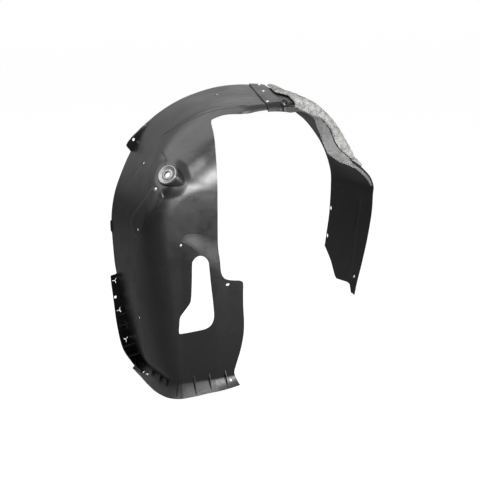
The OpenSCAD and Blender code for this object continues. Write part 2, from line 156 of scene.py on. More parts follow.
def place(s, y, r):
    """Point at length s along the tread, y across the car and r out from the axis."""
    a = math.pi / 2 + np.clip(s, -QUARTER, QUARTER) / ARCH_R
    drop = np.maximum(np.abs(s) - QUARTER, 0)
    return np.stack(np.broadcast_arrays(r * np.cos(a), y, r * np.sin(a) - drop), -1)


# Ledge in the lower web: its upper and lower border, as drop below the axis by distance out from
# it, the distance at which it starts, how much further in it has its full depth, the share of the
# step that comes only below the ledge, and the drop that this share takes.
LEDGE_TOP = [(150, 24), (164, 19), (197, 5), (215, -3), (233, -6), (253, -5), (262, 0), (268, 5)]
LEDGE_FOOT = [(150, 128), (164, 112), (184, 89), (201, 71), (228, 36), (251, 19), (262, 12), (268, 8)]
LEDGE_TIP = 268.0
LEDGE_RUN = 95.0
LEDGE_LATER = 0.42
LEDGE_TAIL = 160.0
ledge_top, ledge_foot = curve(LEDGE_TOP), curve(LEDGE_FOOT)


def web_y(s, r):
    """The lower web steps inboard over a rounded ledge that starts at a point and widens forwards."""
    reach = np.clip((LEDGE_TIP - r) / LEDGE_RUN, 0, 1)
    drop = (s - QUARTER) * np.where(s > QUARTER, 1, r / ARCH_R)
    top, foot = ledge_top(r), ledge_foot(r)
    f = np.clip((drop - top) / (foot - top), 0, 1)
    rest = np.clip((drop - foot) / LEDGE_TAIL, 0, 1)
    return -WEB_DEPTH - WEB_STEP * reach * mix(mix(f, ease(f), 0.5), rest, LEDGE_LATER)


# How far down the corner its middle point lies, as a share of its depth by length along the tread.
corner_share = straight([(-120, 0.05), (-40, 0.30), (150, 0.30), (300, 0.05)])


def corner_b(s):
    a, c = crest_r(s), corner_r(s)
    return a - corner_share(s) * (a - c)


def corner_q(s, free_r):
    """How far round the corner and down the web a radius lies."""
    a, c, b = crest_r(s), corner_r(s), corner_b(s)
    qa, qb, qc = a - 2 * b + c, 2 * (b - a), a - free_r
    safe = np.where(np.abs(qa) < 0.01, 1.0, qa)
    root = np.sqrt(np.maximum(qb * qb - 4 * safe * qc, 0))
    bent = np.where(np.abs(qa) < 0.01, -qc / qb, (-qb - root) / (2 * safe))
    return np.where(free_r < c, 1 + (c - free_r) / WEB_UNIT, bent)


def side_point(s, q):
    a, c, b, ya = crest_r(s), corner_r(s), corner_b(s), crest_y(s)
    g = 1 - np.minimum(q, 1)
    k = np.minimum(q, 1)
    r = np.where(q > 1, c - (q - 1) * WEB_UNIT, a * g * g + 2 * b * k * g + c * k * k)
    y = np.where(q > 1, web_y(s, r), ya * g * g + web_y(s, r) * (1 - g * g))
    return place(s, y, r)


def tread_point(s, f):
    return place(s, mix(edge_y(s), crest_y(s), f), mix(edge_r(s), crest_r(s), f))


def skin(s, u):
    """Point of the outer face: u from 0 to 1 crosses the tread, then goes round and down the side."""
    s, u = np.broadcast_arrays(np.asarray(s, float), np.asarray(u, float))
    tread = tread_point(s, np.minimum(u, 1))
    side = side_point(s, np.maximum(u - 1, 0))
    return np.where((u <= 1)[..., None], tread, side)


def skin_normal(s, u):
    along = skin(s + 1, u) - skin(s - 1, u)
    across = skin(s, u + 0.01) - skin(s, u - 0.01)
    return unit(np.cross(along, across))


def seam_at(u):
    return mix(SEAM_OUTER, SEAM_INNER, np.minimum(1, u))


def grid_normals(g):
    along = np.empty_like(g)
    along[1:-1] = g[2:] - g[:-2]
    along[0], along[-1] = g[1] - g[0], g[-1] - g[-2]
    across = np.empty_like(g)
    across[:, 1:-1] = g[:, 2:] - g[:, :-2]
    across[:, 0], across[:, -1] = g[:, 1] - g[:, 0], g[:, -1] - g[:, -2]
    return unit(np.cross(along, across))


def soft_min(a, b, r):
    h = np.clip(0.5 + (b - a) / (2 * r), 0, 1)
    return mix(b, a, h) - r * h * (1 - h)


# Wheel opening: the lengths between which its arch is drawn and the step, how far the upright
# leans in at its top, how much the arch widens towards it, the rounding where they meet, and a
# place beyond the small shell where the outline closes.
OPENING_SPAN = (-60, 550, 6.0)
UPRIGHT_LEAN = 6.0
ARCH_LEAN = 12.0
OPENING_ROUND = 12.0
BEYOND_X = 400.0
BEYOND_Z = 321.0


def opening_outline():
    """The wheel opening over the arch and down to the tab, closed beyond the small shell."""
    s = np.arange(*OPENING_SPAN)
    turn = s / ARCH_R
    upright = OPENING_X - UPRIGHT_LEAN * (1 - ease((s - 150) / 90))
    over = OPENING_R + ARCH_LEAN * ease((s - 60) / 80)
    r = soft_min(over, upright / np.maximum(0.05, np.sin(turn)), OPENING_ROUND)
    arch = np.stack([-r * np.sin(turn), r * np.cos(turn)], 1)
    return np.concatenate([arch, TAB, [(BEYOND_X, TAB[-1][1]), (BEYOND_X, BEYOND_Z)]])


def spaced(stops):
    """Places from (start, step) stops, each running on to the next start."""
    out = []
    for (a, step), (b, _) in zip(stops[:-1], stops[1:]):
        n = max(1, round((b - a) / step))
        out += [a + (b - a) * k / n for k in range(n)]
    return np.array(out + [stops[-1][0]])


# Grid of the large shell: the length at which its rows run square across, rows before it, and
# (length, step) stops after it; columns of the tread, the corner and the web, and the share of the
# side that the corner's columns take where the shell ends within the corner.
REAR_START = 60.0
LEAD_ROWS = 26
REAR_STOPS = [(REAR_START, 5), (300, 2.6), (352, 1.3), (366, 2.6), (570, 1), (576, 3), (600, 2), (614, 4),
              (729, 1), (737, 4), (900, 3), (996, 1)]
TREAD_COLS = 57
TURN_COLS = 40
WEB_COLS = 44
TURN_SHARE = 0.85
# Fin: its columns as shares of its width, the width up to which it is a flat flange, and the
# further width over which it comes to stand out from the tread.
FIN_ACROSS = np.array([1, 0.8, 0.6, 0.4, 0.25, 0.12])
FIN_COLS = len(FIN_ACROSS)
FIN_FLAT = 3.0
FIN_BLEND = 5.0
# How far the grid runs on past the opening's outline, over the arch and at the upright, and how
# far from the axis it ends by the tab.
SPARE_R = 10.0
SPARE_X = 14.0
TAB_INNER_X = 74.0


def fin_points(s):
    """Columns of the fin, from its edge to the tread."""
    s = s[:, None]
    size = fin_w(s)
    stand = ease((size - FIN_FLAT) / FIN_BLEND)
    inboard = edge_y(s) * mix(1, 0.15 + 0.35 * FIN_ACROSS, stand)
    reach = size * FIN_ACROSS
    return place(s, inboard + reach * (1 - stand), edge_r(s) + reach * stand)


def rear_grid():
    """Outer face of the large shell with its fin and bottom lip."""
    lead = np.linspace(0, 1, LEAD_ROWS + 1)[:-1]
    rows = spaced(REAR_STOPS)
    s_in = np.concatenate([mix(seam_at(1) - SEAM_LAP, REAR_START, lead), rows])
    s_out = np.concatenate([mix(seam_at(0) - SEAM_LAP, REAR_START, lead), rows])
    u = np.linspace(0, 1, TREAD_COLS)
    s_tread = s_out[:, None] + (s_in - s_out)[:, None] * u
    tread = skin(s_tread, u[None, :])
    q_end = corner_q(s_in, rear_inner_r(s_in))[:, None]
    q_turn = np.minimum(1, TURN_SHARE * q_end)
    turn = np.linspace(0, 1, TURN_COLS + 1)[1:]
    down = np.linspace(0, 1, WEB_COLS + 1)[1:]
    q = np.concatenate([q_turn * turn, mix(q_turn, q_end, down)], 1)
    side = skin(s_in[:, None], 1 + q)
    g = np.concatenate([fin_points(s_out), tread, side], 1)
    return np.concatenate([g, lip_rows(g)], 0)


def rear_inner_r(s):
    """Where the large shell's grid ends, a little inside the opening's outline."""
    upright = OPENING_X - SPARE_X
    turn = np.clip(s / ARCH_R, 0.02, math.pi / 2)
    arch = np.minimum(OPENING_R - SPARE_R, upright / np.sin(turn))
    leg = mix(upright, TAB_INNER_X, ease((s - QUARTER - 60) / 50))
    return np.where(s > QUARTER, leg, arch)


# Lip round the bottom: how far it goes out and down by share of its length, its reach at the fin's
# corner, its rows as shares of the reach, how much it bends, how far it bulges at its root, and the
# passes that smooth its direction.
lip_out = curve([(0, 26), (0.35, 19), (1, 19)])
lip_down = curve([(0, 26), (0.11, 31), (0.26, 40), (0.35, 41), (0.42, 39), (0.55, 36), (0.65, 32),
                  (0.84, 28), (1, 20)])
LIP_CORNER = np.array([11.0, -26.0, -15.0])
LIP_STEPS = (0.1, 0.2, 0.3, 0.42, 0.54, 0.66, 0.78, 0.89, 1.0)
LIP_BEND = 0.35
LIP_BULGE = 7.0
SMOOTH_PASSES = 6


def lip_rows(g):
    """Lip round the bottom, which turns out and down from the last row."""
    last, before = g[-1], g[-4]
    root = FIN_COLS
    along = np.empty_like(last)
    along[1:-1] = last[2:] - last[:-2]
    along[0], along[-1] = along[1], along[-2]
    along[:root + 1] = along[root + 2]
    out = unit(np.stack([along[:, 1], -along[:, 0], 0 * along[:, 0]], -1))
    for _ in range(SMOOTH_PASSES):
        out[1:-1] = unit(out[:-2] + out[1:-1] + out[2:])
    arc = np.cumsum(np.linalg.norm(np.diff(last, axis=0, prepend=last[:1]), axis=1))
    f = np.clip((arc - arc[root]) / (arc[-1] - arc[root]), 0, 1)
    reach = lip_out(f)[:, None] * out - lip_down(f)[:, None] * np.array([0, 0, 1])
    w = np.clip((root - np.arange(len(last))) / root, 0, 1)[:, None]
    reach = mix(reach, LIP_CORNER, w)
    down = unit(last - before) * LIP_BULGE * (1 - w)
    return np.array([last + down * 2 * t * (1 - t) + reach * mix(t, t * t, LIP_BEND) for t in LIP_STEPS])


# Small shell: depth of the leg's lower end by share of the tread's width, the length where its rows
# start to slant towards the seam, its rows in the leg and before the lap, those of the lap as
# lengths before the seam, and over how many of these it rises.
leg_cut = straight([(0, 162), (0.25, 196), (0.45, 232), (0.5, 236), (0.8, 227), (0.87, 229), (0.94, 250),
                    (1, 250)])
FRONT_END = -160.0
FRONT_STEP = 4.0
LEG_ROWS = np.concatenate([np.linspace(1, 0.25, 34), np.linspace(0.25, 0, 14)[1:]])
FRONT_COLS = np.sort(np.concatenate([np.linspace(0, 1, 49), [0.45, 0.47, 0.87, 0.94]]))
SLANT_ROWS = 10
LAP_ROWS = np.array([SEAM_LAP + 18, SEAM_LAP + 14, SEAM_LAP + 10, SEAM_LAP + 6, SEAM_LAP + 2, 38, 31, 24,
                     18, 12, 8, 4, 0])
WALL_COLS = 22
LAP_BLEND = 4


def front_grid():
    """Outer face of the small shell, which rises where it laps over the large one."""
    u = FRONT_COLS
    leg = -QUARTER - LEG_ROWS[:, None] * leg_cut(u)
    rows = spaced([(-QUARTER, FRONT_STEP), (FRONT_END, FRONT_STEP)])[1:, None] + 0 * u
    slant = np.linspace(0, 1, SLANT_ROWS + 2)[1:-1, None]
    start = mix(FRONT_END, seam_at(u) - LAP_ROWS[0], slant)
    s_tread = np.concatenate([leg, rows, start, seam_at(u) - LAP_ROWS[:, None]], 0)
    s_in = s_tread[:, -1]
    q_end = corner_q(s_in, wall_free_r(s_in))
    q = q_end[:, None] * np.linspace(0, 1, WALL_COLS + 1)[1:]
    g = np.concatenate([skin(s_tread, u[None, :]), skin(s_in[:, None], 1 + q)], 1)
    rise = np.zeros(len(g))
    rise[-len(LAP_ROWS):] = LAP_RISE * ease(np.arange(len(LAP_ROWS)) / LAP_BLEND)
    return g + grid_normals(g) * rise[:, None, None]


class Press:
    """Forms pressed into a grid along its normals, as heights laid out by length and arc length."""

    def __init__(self, g):
        self.g = g
        across = np.cumsum(np.linalg.norm(np.diff(g, axis=1, prepend=g[:, :1]), axis=2), axis=1)
        along = np.cumsum(np.linalg.norm(np.diff(g, axis=0, prepend=g[:1]), axis=2), axis=0)
        mid = along[:, g.shape[1] // 3]
        self.uv = np.stack([np.broadcast_to(mid[:, None], across.shape), across], -1)
        self.h = np.zeros(g.shape[:2])

    def locate(self, points):
        out = []
        for p in points:
            d = np.linalg.norm(self.g - np.asarray(p, float), axis=2)
            out.append(self.uv[np.unravel_index(np.argmin(d), d.shape)])
        return np.array(out)

    def line_distance(self, p):
        """Distance over the grid from a line through the places p."""
        dist = np.full(self.h.shape, 1e9)
        for a, b in zip(p[:-1], p[1:]):
            d = b - a
            t = np.clip(((self.uv - a) @ d) / max(d @ d, 1e-9), 0, 1)
            dist = np.minimum(dist, np.linalg.norm(self.uv - a - t[..., None] * d, axis=2))
        return dist

    def pad(self, points, height, soft):
        """A plateau inside a closed outline."""
        p = self.locate([*points, points[0]])
        dist = self.line_distance(p)
        inside = np.zeros(self.h.shape, bool)
        x, y = self.uv[..., 0], self.uv[..., 1]
        for a, b in zip(p[:-1], p[1:]):
            crosses = (a[1] > y) != (b[1] > y)
            rise = b[1] - a[1] if abs(b[1] - a[1]) > 1e-9 else 1e-9
            inside ^= crosses & (x < (b[0] - a[0]) * (y - a[1]) / rise + a[0])
        self.h += height * ease(0.5 + np.where(inside, dist, -dist) / (2 * soft))

    def bead(self, points, height, width):
        """A round ridge, or a groove where the height is negative, along a line."""
        self.h += height * ease(1 - self.line_distance(self.locate(points)) / width)

    def ball(self, centre, radius, height):
        d = np.linalg.norm(self.g - np.asarray(centre, float), axis=2)
        self.h += height * ease(1 - d / radius)

    def done(self):
        return self.g + grid_normals(self.g) * self.h[..., None]


WAVE_COUNT = 6


def waves(p, size, seed):
    """Slow random swell over points, from about -1 to 1."""
    rng = np.random.default_rng(seed)
    total = np.zeros(p.shape[:-1])
    for _ in range(WAVE_COUNT):
        k = unit(rng.normal(size=3)) * 2 * math.pi / (size * rng.uniform(0.7, 1.5))
        total += np.sin(p @ k + rng.uniform(0, 6.3))
    return total / 4


def swelled(g, height, size, seed):
    return g + grid_normals(g) * (height * waves(g, size, seed))[..., None]


# Meshes
def new_object(name, data):
    obj = bpy.data.objects.new(name, data)
    bpy.context.scene.collection.objects.link(obj)
    return obj


def inset(g, d):
    """The grid with one more row and column just inside each border."""
    def near(a, b):
        v = b - a
        share = np.minimum(0.5, d / np.maximum(np.linalg.norm(v, axis=-1, keepdims=True), 1e-6))
        return (a + v * share)[None]

    for _ in range(2):
        g = np.concatenate([g[:1], near(g[0], g[1]), g[1:-1], near(g[-1], g[-2]), g[-1:]])
        g = g.swapaxes(0, 1)
    return g


def closed_mesh(name, top, under):
    m, n = top.shape[:2]
    at = np.arange(m * n).reshape(m, n)
    a, b, c, d = at[:-1, :-1].ravel(), at[:-1, 1:].ravel(), at[1:, 1:].ravel(), at[1:, :-1].ravel()
    faces = np.concatenate([np.stack([a, b, c, d], 1), m * n + np.stack([a, d, c, b], 1)])
    rim = np.concatenate([at[0, :], at[1:, -1], at[-1, -2::-1], at[-2:0:-1, 0]])
    nxt = np.roll(rim, -1)
    faces = np.concatenate([faces, np.stack([nxt, rim, rim + m * n, nxt + m * n], 1)])
    points = to_frame(np.concatenate([top.reshape(-1, 3), under.reshape(-1, 3)]))
    mesh = bpy.data.meshes.new(name)
    mesh.from_pydata(points.tolist(), [], faces.tolist())
    mesh.validate()
    return mesh


# Outboard limit of the shells' faces, level with the seat of the tab hole, and the width taken off
# a sheet's edges.
FLANGE_FACE = 2.95
CHAMFER = 0.7


def shell_object(name, outer):
    """A sheet of plastic under an outer face, with its rim's two edges taken off."""
    g = inset(outer, CHAMFER)
    nrm = grid_normals(g)
    top, under = g.copy(), g - nrm * WALL
    for part in (np.s_[0], np.s_[-1], np.s_[:, 0], np.s_[:, -1]):
        top[part] = (g - nrm * CHAMFER)[part]
        under[part] = (g - nrm * (WALL - CHAMFER))[part]
    for face in (top, under):
        face[..., 1] = np.minimum(face[..., 1], FLANGE_FACE)
    return new_object(name, closed_mesh(name, top, under))


def object_from_bmesh(name, bm):
    bmesh.ops.recalc_face_normals(bm, faces=bm.faces)
    mesh = bpy.data.meshes.new(name)
    bm.to_mesh(mesh)
    bm.free()
    return new_object(name, mesh)


def placed(at, axis):
    """Matrix that moves the origin to a place and turns +Z onto an axis."""
    turn = Vector((0, 0, 1)).rotation_difference(Vector(unit(axis)))
    return Matrix.Translation(Vector(to_frame(at))) @ turn.to_matrix().to_4x4()


def add_rod(bm, at, axis, radius, length, sides=40, stretch=(1, 1, 1, 1)):
    m = placed(at, axis) @ Matrix.Diagonal(stretch)
    bmesh.ops.create_cone(bm, cap_ends=True, segments=sides, radius1=radius * MM, radius2=radius * MM,
                          depth=length * MM, matrix=m)


def ring_points(radius, height, sides):
    """Points in metres round +Z, from a radius and height in millimetres."""
    angles = np.linspace(0, 2 * math.pi, sides, endpoint=False)
    return [Vector((radius * MM * math.cos(a), radius * MM * math.sin(a), height * MM)) for a in angles]


def bridge(bm, lower, upper):
    """Faces between two closed loops of as many points."""
    for k in range(len(lower)):
        j = (k + 1) % len(lower)
        bm.faces.new((lower[k], lower[j], upper[j], upper[k]))


def add_turned(bm, at, axis, profile, sides=40):
    """Solid of revolution about an axis, from (radius, height) points, capped at both ends."""
    m = placed(at, axis)
    rings = [[bm.verts.new(m @ v) for v in ring_points(r, z, sides)] for r, z in profile]
    for lower, upper in zip(rings[:-1], rings[1:]):
        bridge(bm, lower, upper)
    bm.faces.new(rings[0])
    bm.faces.new(rings[-1])


def add_hole(bm, s, u, r, flare):
    """Cutter for a hole square to the skin, which opens out by the flare on the inside."""
    profile = [(r + flare, -5.5), (r + flare, -3.2), (r, -0.5), (r, 8)]
    add_turned(bm, skin(s, u), skin_normal(s, u), profile)


# Arms of a clip slot: the angle of each, and the gap after it.
STAR_ARMS = [(0, 115), (115, 115), (230, 130)]


def star(x, z, turn, length=8.5, half=1.25):
    """Outline of a clip slot with three arms."""
    out = []
    for arm, gap in STAR_ARMS:
        a, half_gap = math.radians(turn + arm), math.radians(gap / 2)
        c, d = math.cos(a), math.sin(a)
        out += [(x + length * c + half * d, z + length * d - half * c),
                (x + length * c - half * d, z + length * d + half * c)]
        b = a + half_gap
        inner = half / math.sin(half_gap)
        out.append((x + inner * math.cos(b), z + inner * math.sin(b)))
    return out


def add_slab(bm, under, over):
    """Solid between two outlines with as many corners."""
    low = [bm.verts.new(to_frame(q)) for q in under]
    high = [bm.verts.new(to_frame(q)) for q in over]
    bm.faces.new(low)
    bm.faces.new(list(reversed(high)))
    for k in range(len(low)):
        j = (k + 1) % len(low)
        bm.faces.new((low[j], low[k], high[k], high[j]))


def add_plate(bm, a, b, c, v):
    """Thin triangular rib with corners a, b and c, and v as half its thickness."""
    corners = [np.array(q) for q in (a, b, c)]
    add_slab(bm, [q - v for q in corners], [q + v for q in corners])


def add_slot(bm, at, axis, turn, length, half, depth=8.0):
    """Clip slot with three arms, cut square to a sloping face."""
    across = unit(np.cross(axis, (0, 1, 0)))
    along = np.cross(across, axis)
    outline = [np.array(at) + across * a + along * b for a, b in star(0, 0, turn, length, half)]
    add_slab(bm, [q - axis * depth for q in outline], [q + axis * depth for q in outline])


def add_prism(bm, outline, y0, y1):
    """Upright prism between two places along the axle."""
    add_slab(bm, [(x, y0, z) for x, z in outline], [(x, y1, z) for x, z in outline])


def rounded(outline):
    """A closed outline with its corners cut off."""
    p = np.array(outline, float)
    q = np.roll(p, -1, 0)
    return np.stack([mix(p, q, 0.25), mix(p, q, 0.75)], 1).reshape(-1, 2)


def lathe(name, profile, sides, at, axis):
    """Closed ring of revolution at a place, from (radius, height) points in order round it."""
    bm = bmesh.new()
    rings = [[bm.verts.new(v) for v in ring_points(r, z, sides)] for r, z in profile]
    for lower, upper in zip(rings, rings[1:] + rings[:1]):
        bridge(bm, lower, upper)
    obj = object_from_bmesh(name, bm)
    obj.data.transform(placed(at, axis))
    return obj


def carve(obj, cutters):
    for bm in cutters:
        tool = object_from_bmesh("cutter", bm)
        cut = obj.modifiers.new("cut", "BOOLEAN")
        cut.operation = "DIFFERENCE"
        cut.solver = "MANIFOLD"
        cut.object = tool
        bpy.context.view_layer.update()
        done = bpy.data.meshes.new_from_object(obj.evaluated_get(bpy.context.evaluated_depsgraph_get()))
        obj.modifiers.clear()
        obj.data = done
        bpy.data.objects.remove(tool)


def join(obj, others):
    """Adds the meshes of others to obj."""
    bm = bmesh.new()
    bm.from_mesh(obj.data)
    for o in others:
        bm.from_mesh(o.data)
        bpy.data.objects.remove(o)
    bm.to_mesh(obj.data)
    bm.free()


def finish_mesh(obj, angle=32):
    mesh = obj.data
    mesh.polygons.foreach_set("use_smooth", [True] * len(mesh.polygons))
    mesh.set_sharp_from_angle(angle=math.radians(angle))
    mesh.update()


# Large shell
# Boss: the middle and direction of its face, its radius and bore, how much its wall widens over
# what depth, its facets, and how near the skin is looked at to find where the wall ends.
BOSS_AT = np.array([-296.5, -229.0, 172.5])
BOSS_N = unit([-0.7, -0.43, 0.57])
BOSS_R = 29.5
BOSS_BORE = 8.5
BOSS_DRAFT = 6.0
BOSS_DEPTH = 50.0
BOSS_SIDES = 72
BOSS_NEAR = 90.0
# Rise of the skin round the boss: its share of the depth under the boss's face, the depth at which
# it starts, and how far out it fades.
HILL_SHARE = 0.66
HILL_RIM = 2.0
HILL_WIDTH = 36.0
# Uneven swell of the mouldings, as height, length and seed.
REAR_SWELL = (0.35, 130, 3)
FRONT_SWELL = (0.4, 120, 8)
# Places on the skin are (length along the tread, way across).
STRAP = [(434, 1.1), (418, 1.25), (426, 1.38), (450, 1.56), (480, 1.48), (532, 1.23), (562, 1.04),
         (582, 0.93), (570, 0.75), (542, 0.64), (498, 0.8), (458, 0.96)]
TREAD_GROOVE = [(382, 0.61), (414, 0.41), (454, 0.29), (514, 0.26)]
RIVETS = [(-104, 0.06), (-66, 0.46), (-10, 0.95)]
RIVET_BORE = 2.5
# Thin ridges, as places on the skin, half width and rise.
RIDGES = [([(330, 1.09), (336, 1.18), (350, 1.26), (366, 1.29)], 2.4, 1.9),
          ([(302, 0.98), (250, 1.04), (206, 1.06), (166, 1.08), (124, 1.09), (84, 1.09), (40, 1.08)],
           1.9, 0.9),
          ([(302, 1.32), (252, 1.31), (216, 1.33)], 0.8, 0.3),
          ([(296, 1.45), (232, 1.67)], 0.8, 0.3),
          ([(426, 1.39), (450, 1.57), (480, 1.49), (532, 1.24)], 0.9, 0.5),
          ([(586, 2.3), (574, 2.42), (572, 2.59), (578, 2.75), (586, 2.89), (600, 3.1)], 1.3, 0.7),
          ([(586, 2.3), (600, 2.44), (610, 2.55), (622, 2.65)], 1.1, 0.6)]
# Small holes square to the skin, as length, way across, radius and flare. Those in a dimple are
# sunk and the others have a raised rim.
DIMPLED = [(434, 1.23, 3.5, 4), (559, 0.9, 4.2, 8)]
RIMMED = [(66, 0.3, 4.2, 10), (382, 0.62, 3.5, 4), (826, 1.08, 3.5, 4)]
# Section of the flat seat of the tab hole as (radius, height). Holes along the axle as (x, z,
# radius): the tab's, the fin's and the web's. Then the fin's clip slots as (x, z, turn), and the
# long hole in the lower tab.
SEAT = [(4.5, 1.45), (9, 1.45), (9, -1.6), (4.5, -1.6)]
SIDE_HOLES = [(TAB_HOLE[0], TAB_HOLE[2], 4.5), (-363, -220, 4.5), (-268, -19, 3.5)]
STARS = [(-363, -170, 60), (-352, -261, 75), (-337, -352, 40)]
LONG_HOLE = (-132, -262, -147)
LONG_HOLE_STRETCH = (1.35, 0.85, 1, 1)
SCREW_R = 4.5
# Hole in the lip, and the slot and hole in the sloping face of the outer corner.
LIP_HOLE = (-129, -268, -425)
LIP_HOLE_AXIS = (0, -0.87, 0.5)
CORNER_FACE = unit([-0.71, -0.04, 0.7])
CORNER_SLOT = (-314.5, -100, -429)
CORNER_HOLE = (-318, -80, -430)
# Ribs across the lip as (x, y) of their roots, the height of those in the corner, and ribs under
# the fin by length.
LIP_RIBS = [(-306, -132), (-304, -176), (-297, -206), (-281, -239), (-237, -252), (-192, -259),
            (-143, -262)]
CORNER_X = -290
CORNER_RIB = 0.45
FIN_RIBS = [861, 892, 951, 977]
RIB_HALF = 1.1


def rear_forms(g):
    """Pads, dimples, rims and the groove of the large shell."""
    p = Press(g)
    p.pad([skin(*at) for at in STRAP], 2.4, 2.4)
    for s, u, _, _ in DIMPLED:
        p.ball(skin(s, u), 12, 1.0)
        p.ball(skin(s, u), 9, -2.2)
    for s, u, _, _ in RIMMED:
        p.ball(skin(s, u), 9, 0.7)
    p.bead([skin(*at) for at in TREAD_GROOVE], -0.7, 5)
    return p.done()


def boss_hill(g):
    """The skin round the boss, lifted a little towards the washer's plane."""
    depth = np.maximum((BOSS_AT - g) @ BOSS_N - HILL_RIM, 0)
    away = np.linalg.norm(g - BOSS_AT, axis=-1)
    lift = HILL_SHARE * depth * ease(1 - (away - BOSS_R) / HILL_WIDTH)
    return g + BOSS_N * lift[..., None]


def add_ridge(bm, knots, half, rise, rings=40, sides=8):
    """Half-round bead along the skin through (length, way across) knots, thin at both ends."""
    t = np.linspace(0, len(knots) - 1, rings)
    s = curve([(k, knot[0]) for k, knot in enumerate(knots)])(t)
    u = curve([(k, knot[1]) for k, knot in enumerate(knots)])(t)
    p, up = boss_hill(skin(s, u)), skin_normal(s, u)
    side = unit(np.cross(up, np.gradient(p, axis=0)))
    loops = []
    for k in range(rings):
        size = 0.25 + 0.75 * ease(min(k, rings - 1 - k) / 5)
        tall, wide = up[k] * rise * size, side[k] * half * size
        loops.append([bm.verts.new(to_frame(p[k] + tall * math.cos(a) + wide * math.sin(a)))
                      for a in np.linspace(0, 2 * math.pi, sides, endpoint=False)])
    for lower, upper in zip(loops[:-1], loops[1:]):
        bridge(bm, lower, upper)
    bm.faces.new(loops[0])
    bm.faces.new(list(reversed(loops[-1])))


def side_cutters():
    """What is cut along the axle."""
    bm = bmesh.new()
    add_prism(bm, rounded(opening_outline()), -330, -60)
    add_prism(bm, rounded(CUT_OUT), -330, -150)
    for x, z, r in SIDE_HOLES:
        add_rod(bm, (x, -100, z), (0, 1, 0), r, 500)
    for x, z, turn in STARS:
        add_prism(bm, star(x, z, turn), -60, 40)
    add_rod(bm, LONG_HOLE, (0, 1, 0), SCREW_R, 30, 32, LONG_HOLE_STRETCH)
    return bm


def skew_cutters():
    """What is cut square to the skin or to a sloping face."""
    bm = bmesh.new()
    for hole in RIMMED + DIMPLED:
        add_hole(bm, *hole)
    add_rod(bm, LIP_HOLE, LIP_HOLE_AXIS, SCREW_R, 30)
    add_rod(bm, CORNER_HOLE, CORNER_FACE, 4.2, 16)
    add_slot(bm, CORNER_SLOT, CORNER_FACE, turn=50, length=9, half=1.9)
    for s, u in RIVETS:
        add_rod(bm, skin(s, u), skin_normal(s, u), RIVET_BORE, 20)
    inner = BOSS_R - WALL
    hollow = [(inner + BOSS_DRAFT, -WALL - BOSS_DEPTH), (inner, -WALL), (inner, 60)]
    add_turned(bm, BOSS_AT, BOSS_N, hollow, 64)
    return bm


def boss_radius(depth):
    return BOSS_R + BOSS_DRAFT * depth / BOSS_DEPTH


def make_boss(g):
    """Hollow pad for the washer, with a drafted wall that ends in the shell."""
    side = unit(np.cross(BOSS_N, [0, 0, 1]))
    up = np.cross(BOSS_N, side)
    near = g.reshape(-1, 3)
    near = near[np.linalg.norm(near - BOSS_AT, axis=1) < BOSS_NEAR]
    rel = near - BOSS_AT
    depth = -rel @ BOSS_N
    x, y = rel @ side, rel @ up
    bm = bmesh.new()
    rings = [[] for _ in range(8)]
    for k in range(BOSS_SIDES):
        a = 2 * math.pi * k / BOSS_SIDES
        c, d = math.cos(a), math.sin(a)
        # Depth at which the wall meets the skin, found in a few steps from a guess.
        meets = 10.0
        for _ in range(4):
            r = boss_radius(meets)
            meets = max(3.5, float(depth[np.argmin((x - r * c) ** 2 + (y - r * d) ** 2)]))
        low = meets + 2
        r_low = boss_radius(low)
        profile = [(BOSS_BORE, 0), (BOSS_R - 1.5, 0), (BOSS_R - 0.4, 0.4), (BOSS_R, 1.5), (r_low, low),
                   (r_low - WALL, low), (BOSS_R - WALL, WALL), (BOSS_BORE, WALL)]
        for ring, (r, t) in zip(rings, profile):
            ring.append(bm.verts.new(to_frame(BOSS_AT + (side * c + up * d) * r - BOSS_N * t)))
    for lower, upper in zip(rings, rings[1:] + rings[:1]):
        bridge(bm, lower, upper)
    return object_from_bmesh("boss", bm)


def make_ribs(g):
    """Thin ribs across the lip and between the fin and the tread."""
    bm = bmesh.new()
    root = -len(LIP_STEPS) - 1
    root_row, wall_row, end_row = g[root], g[root - 6], g[-1]
    inward = -1.5 * grid_normals(g)[root]
    for x, y in LIP_RIBS:
        j = int(np.argmin(np.hypot(root_row[FIN_COLS:, 0] - x, root_row[FIN_COLS:, 1] - y))) + FIN_COLS
        along = unit(root_row[j + 1] - root_row[j - 1])
        height = CORNER_RIB if x < CORNER_X else 1.0
        outer_end = mix(root_row[j], end_row[j], 0.88 * height) - np.array([0, 0, 0.5])
        top = mix(root_row[j], wall_row[j], height)
        add_plate(bm, top, outer_end, root_row[j] + inward[j], along * RIB_HALF)
    for s in FIN_RIBS:
        foot = s - 8.0
        y, r = float(edge_y(foot)), float(edge_r(foot))
        tip = place(np.array(float(s)), 0.6 * y, r + 0.85 * float(fin_w(s)))
        low = place(np.array(foot), y + 1.5, r - 1.5)
        add_plate(bm, skin(s - 16.0, 0.2), tip, low, np.array([0, 0, RIB_HALF]))
    return object_from_bmesh("ribs", bm)


def make_ridges():
    bm = bmesh.new()
    for knots, half, rise in RIDGES:
        add_ridge(bm, knots, half, rise)
    return object_from_bmesh("ridges", bm)


def make_rear():
    outer = swelled(boss_hill(rear_forms(rear_grid())), *REAR_SWELL)
    obj = shell_object("rear_shell_moulding", outer)
    carve(obj, [side_cutters(), skew_cutters()])
    seat = lathe("seat", SEAT, 40, TAB_HOLE, (0, 1, 0))
    join(obj, [make_boss(outer), seat, make_ribs(outer), make_ridges()])
    finish_mesh(obj)
    return obj


